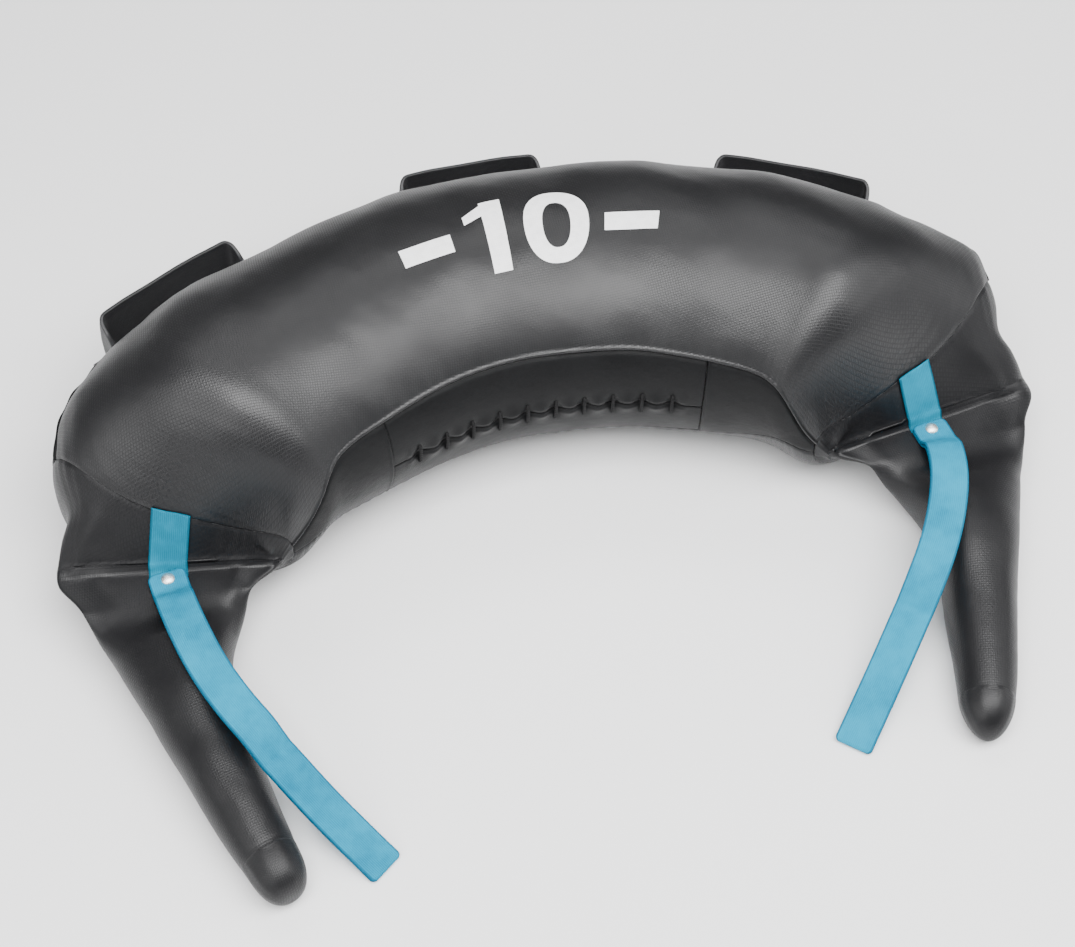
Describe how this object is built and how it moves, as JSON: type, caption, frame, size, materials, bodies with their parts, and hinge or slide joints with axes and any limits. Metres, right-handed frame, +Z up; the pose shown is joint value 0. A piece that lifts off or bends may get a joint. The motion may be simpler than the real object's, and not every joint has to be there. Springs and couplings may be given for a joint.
{
  "type": "bulgarian bag",
  "caption": "Crescent vinyl training bag with two horn grips, riveted webbing loops, a laced neck seam and handles on the outer curve.",
  "frame": {"origin": "middle of the box round the lying bag, on the floor", "axes": "+X along the bag's width, to the right of someone in the open side looking at it; -Y out of the open side; +Z up"},
  "size_m": [0.6548, 0.4842, 0.163],
  "materials": {
    "textured_vinyl": "satin, fine woven grain",
    "smooth_vinyl": "satin, smooth",
    "blue_webbing": "matt woven",
    "nickel": "polished",
    "black_lace": "waxed",
    "wadding": "matt",
    "pouch_cloth": "matt"
  },
  "bodies": {
    "bag": {"front_panel": "textured_vinyl", "back_panel": "textured_vinyl", "outer_strip": "smooth_vinyl", "neck_gusset_right": "smooth_vinyl", "neck_gusset_left": "smooth_vinyl", "neck_lip_front": "smooth_vinyl", "neck_lip_back": "smooth_vinyl", "closing_lace": "black_lace", "wadding_sleeve": "wadding", "sand_pouch_1": "pouch_cloth", "sand_pouch_2": "pouch_cloth", "sand_pouch_3": "pouch_cloth", "sand_pouch_4": "pouch_cloth", "sand_pouch_5": "pouch_cloth", "yoke_right": "textured_vinyl", "yoke_left": "textured_vinyl", "strap_tab_right": "blue_webbing", "strap_tab_left": "blue_webbing", "handle_left_keeper_a": "smooth_vinyl", "handle_left_keeper_b": "smooth_vinyl", "handle_centre_keeper_a": "smooth_vinyl", "handle_centre_keeper_b": "smooth_vinyl", "handle_right_keeper_a": "smooth_vinyl", "handle_right_keeper_b": "smooth_vinyl"},
    "grip_left": {"grip_shell_left": "textured_vinyl", "grip_core_left": "wadding", "tip_cap_left": "textured_vinyl", "rivet_left": "nickel", "rivet_washer_left": "nickel"},
    "strap_root_left": {"strap_eye_left": "blue_webbing"},
    "strap_left": {"strap_loop_left": "blue_webbing"},
    "grip_right": {"grip_shell_right": "textured_vinyl", "grip_core_right": "wadding", "tip_cap_right": "textured_vinyl", "rivet_right": "nickel", "rivet_washer_right": "nickel"},
    "strap_root_right": {"strap_eye_right": "blue_webbing"},
    "strap_right": {"strap_loop_right": "blue_webbing"},
    "handle_left": {"handle_left": "smooth_vinyl"},
    "handle_centre": {"handle_centre": "smooth_vinyl"},
    "handle_right": {"handle_right": "smooth_vinyl"}
  },
  "joints": [
    {"name": "grip_lift_left", "type": "hinge", "parent": "bag", "child": "grip_left", "pos_m": [-0.25758, -0.01396, 0.0426], "axis": [-0.9877, 0.1564, 0], "range_deg": [-40, 30]},
    {"name": "strap_swing_left", "type": "hinge", "parent": "grip_left", "child": "strap_root_left", "pos_m": [-0.2595, -0.02611, 0.043], "axis": [0, 0, 1], "range_deg": [0, 14]},
    {"name": "strap_lift_left", "type": "hinge", "parent": "strap_root_left", "child": "strap_left", "pos_m": [-0.25884, -0.03243, 0.0508], "axis": [-0.9945, -0.1045, 0], "range_deg": [0, 55]},
    {"name": "grip_lift_right", "type": "hinge", "parent": "bag", "child": "grip_right", "pos_m": [0.25758, -0.01396, 0.0426], "axis": [-0.9877, -0.1564, 0], "range_deg": [-40, 30]},
    {"name": "strap_swing_right", "type": "hinge", "parent": "grip_right", "child": "strap_root_right", "pos_m": [0.2595, -0.02611, 0.043], "axis": [0, 0, -1], "range_deg": [0, 22]},
    {"name": "strap_lift_right", "type": "hinge", "parent": "strap_root_right", "child": "strap_right", "pos_m": [0.26039, -0.0324, 0.0508], "axis": [-0.9903, -0.1392, 0], "range_deg": [0, 55]},
    {"name": "handle_tilt_left", "type": "hinge", "parent": "bag", "child": "handle_left", "pos_m": [-0.21385, 0.16221, 0.07925], "axis": [0.8894, 0.4572, 0], "range_deg": [-30, 30]},
    {"name": "handle_tilt_centre", "type": "hinge", "parent": "bag", "child": "handle_centre", "pos_m": [0, 0.21564, 0.07925], "axis": [1, 0, 0], "range_deg": [-30, 30]},
    {"name": "handle_tilt_right", "type": "hinge", "parent": "bag", "child": "handle_right", "pos_m": [0.21385, 0.16221, 0.07925], "axis": [0.8894, -0.4572, 0], "range_deg": [-30, 30]}
  ]
}
